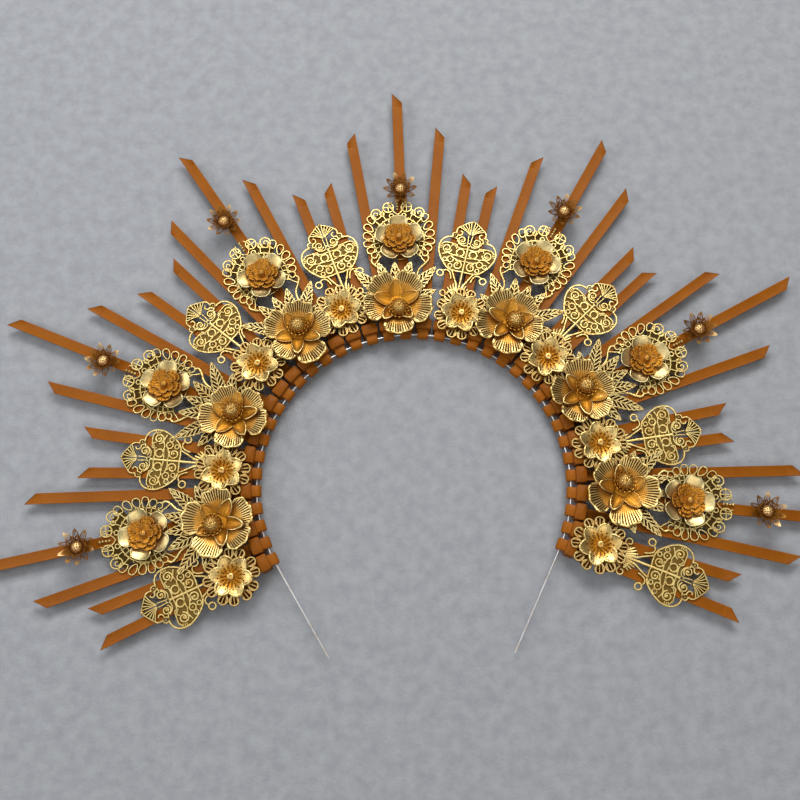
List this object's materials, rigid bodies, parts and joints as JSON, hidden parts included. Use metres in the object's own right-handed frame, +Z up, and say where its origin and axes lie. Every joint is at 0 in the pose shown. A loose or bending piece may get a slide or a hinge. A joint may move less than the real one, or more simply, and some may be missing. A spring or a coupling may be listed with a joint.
{
  "type": "halo crown",
  "caption": "Halo crown: rays of nylon cable ties pulled tight round a wire arc, with gold filigree plates and stamped flowers glued on.",
  "frame": {"origin": "centre of the wire's arc, on the surface that the crown lies on", "axes": "+Z up, out of the crown's face as it lies; +Y towards the crown's top ray; +X to the right"},
  "size_m": [0.3855, 0.2632, 0.0156],
  "materials": {
    "tie_nylon": "satin caramel nylon with a toothed middle",
    "steel_wire": "bright drawn wire",
    "gold_flower": "bright gold plate, pale on the rims and amber in the cups",
    "gold_filigree": "bright pale gold plate",
    "amber_gold": "bright amber gold plate",
    "dark_bronze": "dark antique bronze"
  },
  "bodies": {
    "root": {"wire": "steel_wire", "rays_01": "tie_nylon", "rays_02": "tie_nylon", "rays_03": "tie_nylon", "rays_04": "tie_nylon", "rays_05": "tie_nylon", "rays_06": "tie_nylon", "rays_07": "tie_nylon", "rays_08": "tie_nylon", "rays_09": "tie_nylon", "rays_10": "tie_nylon", "rays_11": "tie_nylon", "rays_12": "tie_nylon", "rays_13": "tie_nylon", "rays_14": "tie_nylon", "rays_15": "tie_nylon", "blossom_1": "gold_flower", "teardrop_1": "gold_filigree", "rose_1": "amber_gold", "star_1": "dark_bronze", "blossom_2": "gold_flower", "teardrop_2": "gold_filigree", "rose_2": "amber_gold", "star_2": "dark_bronze", "blossom_3": "gold_flower", "teardrop_3": "gold_filigree", "rose_3": "amber_gold", "star_3": "dark_bronze", "blossom_4": "gold_flower", "teardrop_4": "gold_filigree", "rose_4": "amber_gold", "star_4": "dark_bronze", "blossom_5": "gold_flower", "teardrop_5": "gold_filigree", "rose_5": "amber_gold", "star_5": "dark_bronze", "blossom_6": "gold_flower", "teardrop_6": "gold_filigree", "rose_6": "amber_gold", "star_6": "dark_bronze", "blossom_7": "gold_flower", "teardrop_7": "gold_filigree", "rose_7": "amber_gold", "star_7": "dark_bronze", "palmette_1": "gold_filigree", "floret_1": "gold_flower", "palmette_2": "gold_filigree", "floret_2": "gold_flower", "palmette_3": "gold_filigree", "floret_3": "gold_flower", "palmette_4": "gold_filigree", "floret_4": "gold_flower", "palmette_5": "gold_filigree", "floret_5": "gold_flower", "palmette_6": "gold_filigree", "floret_6": "gold_flower", "palmette_7": "gold_filigree", "floret_7": "gold_flower", "palmette_8": "gold_filigree", "floret_8": "gold_flower"}
  },
  "joints": []
}
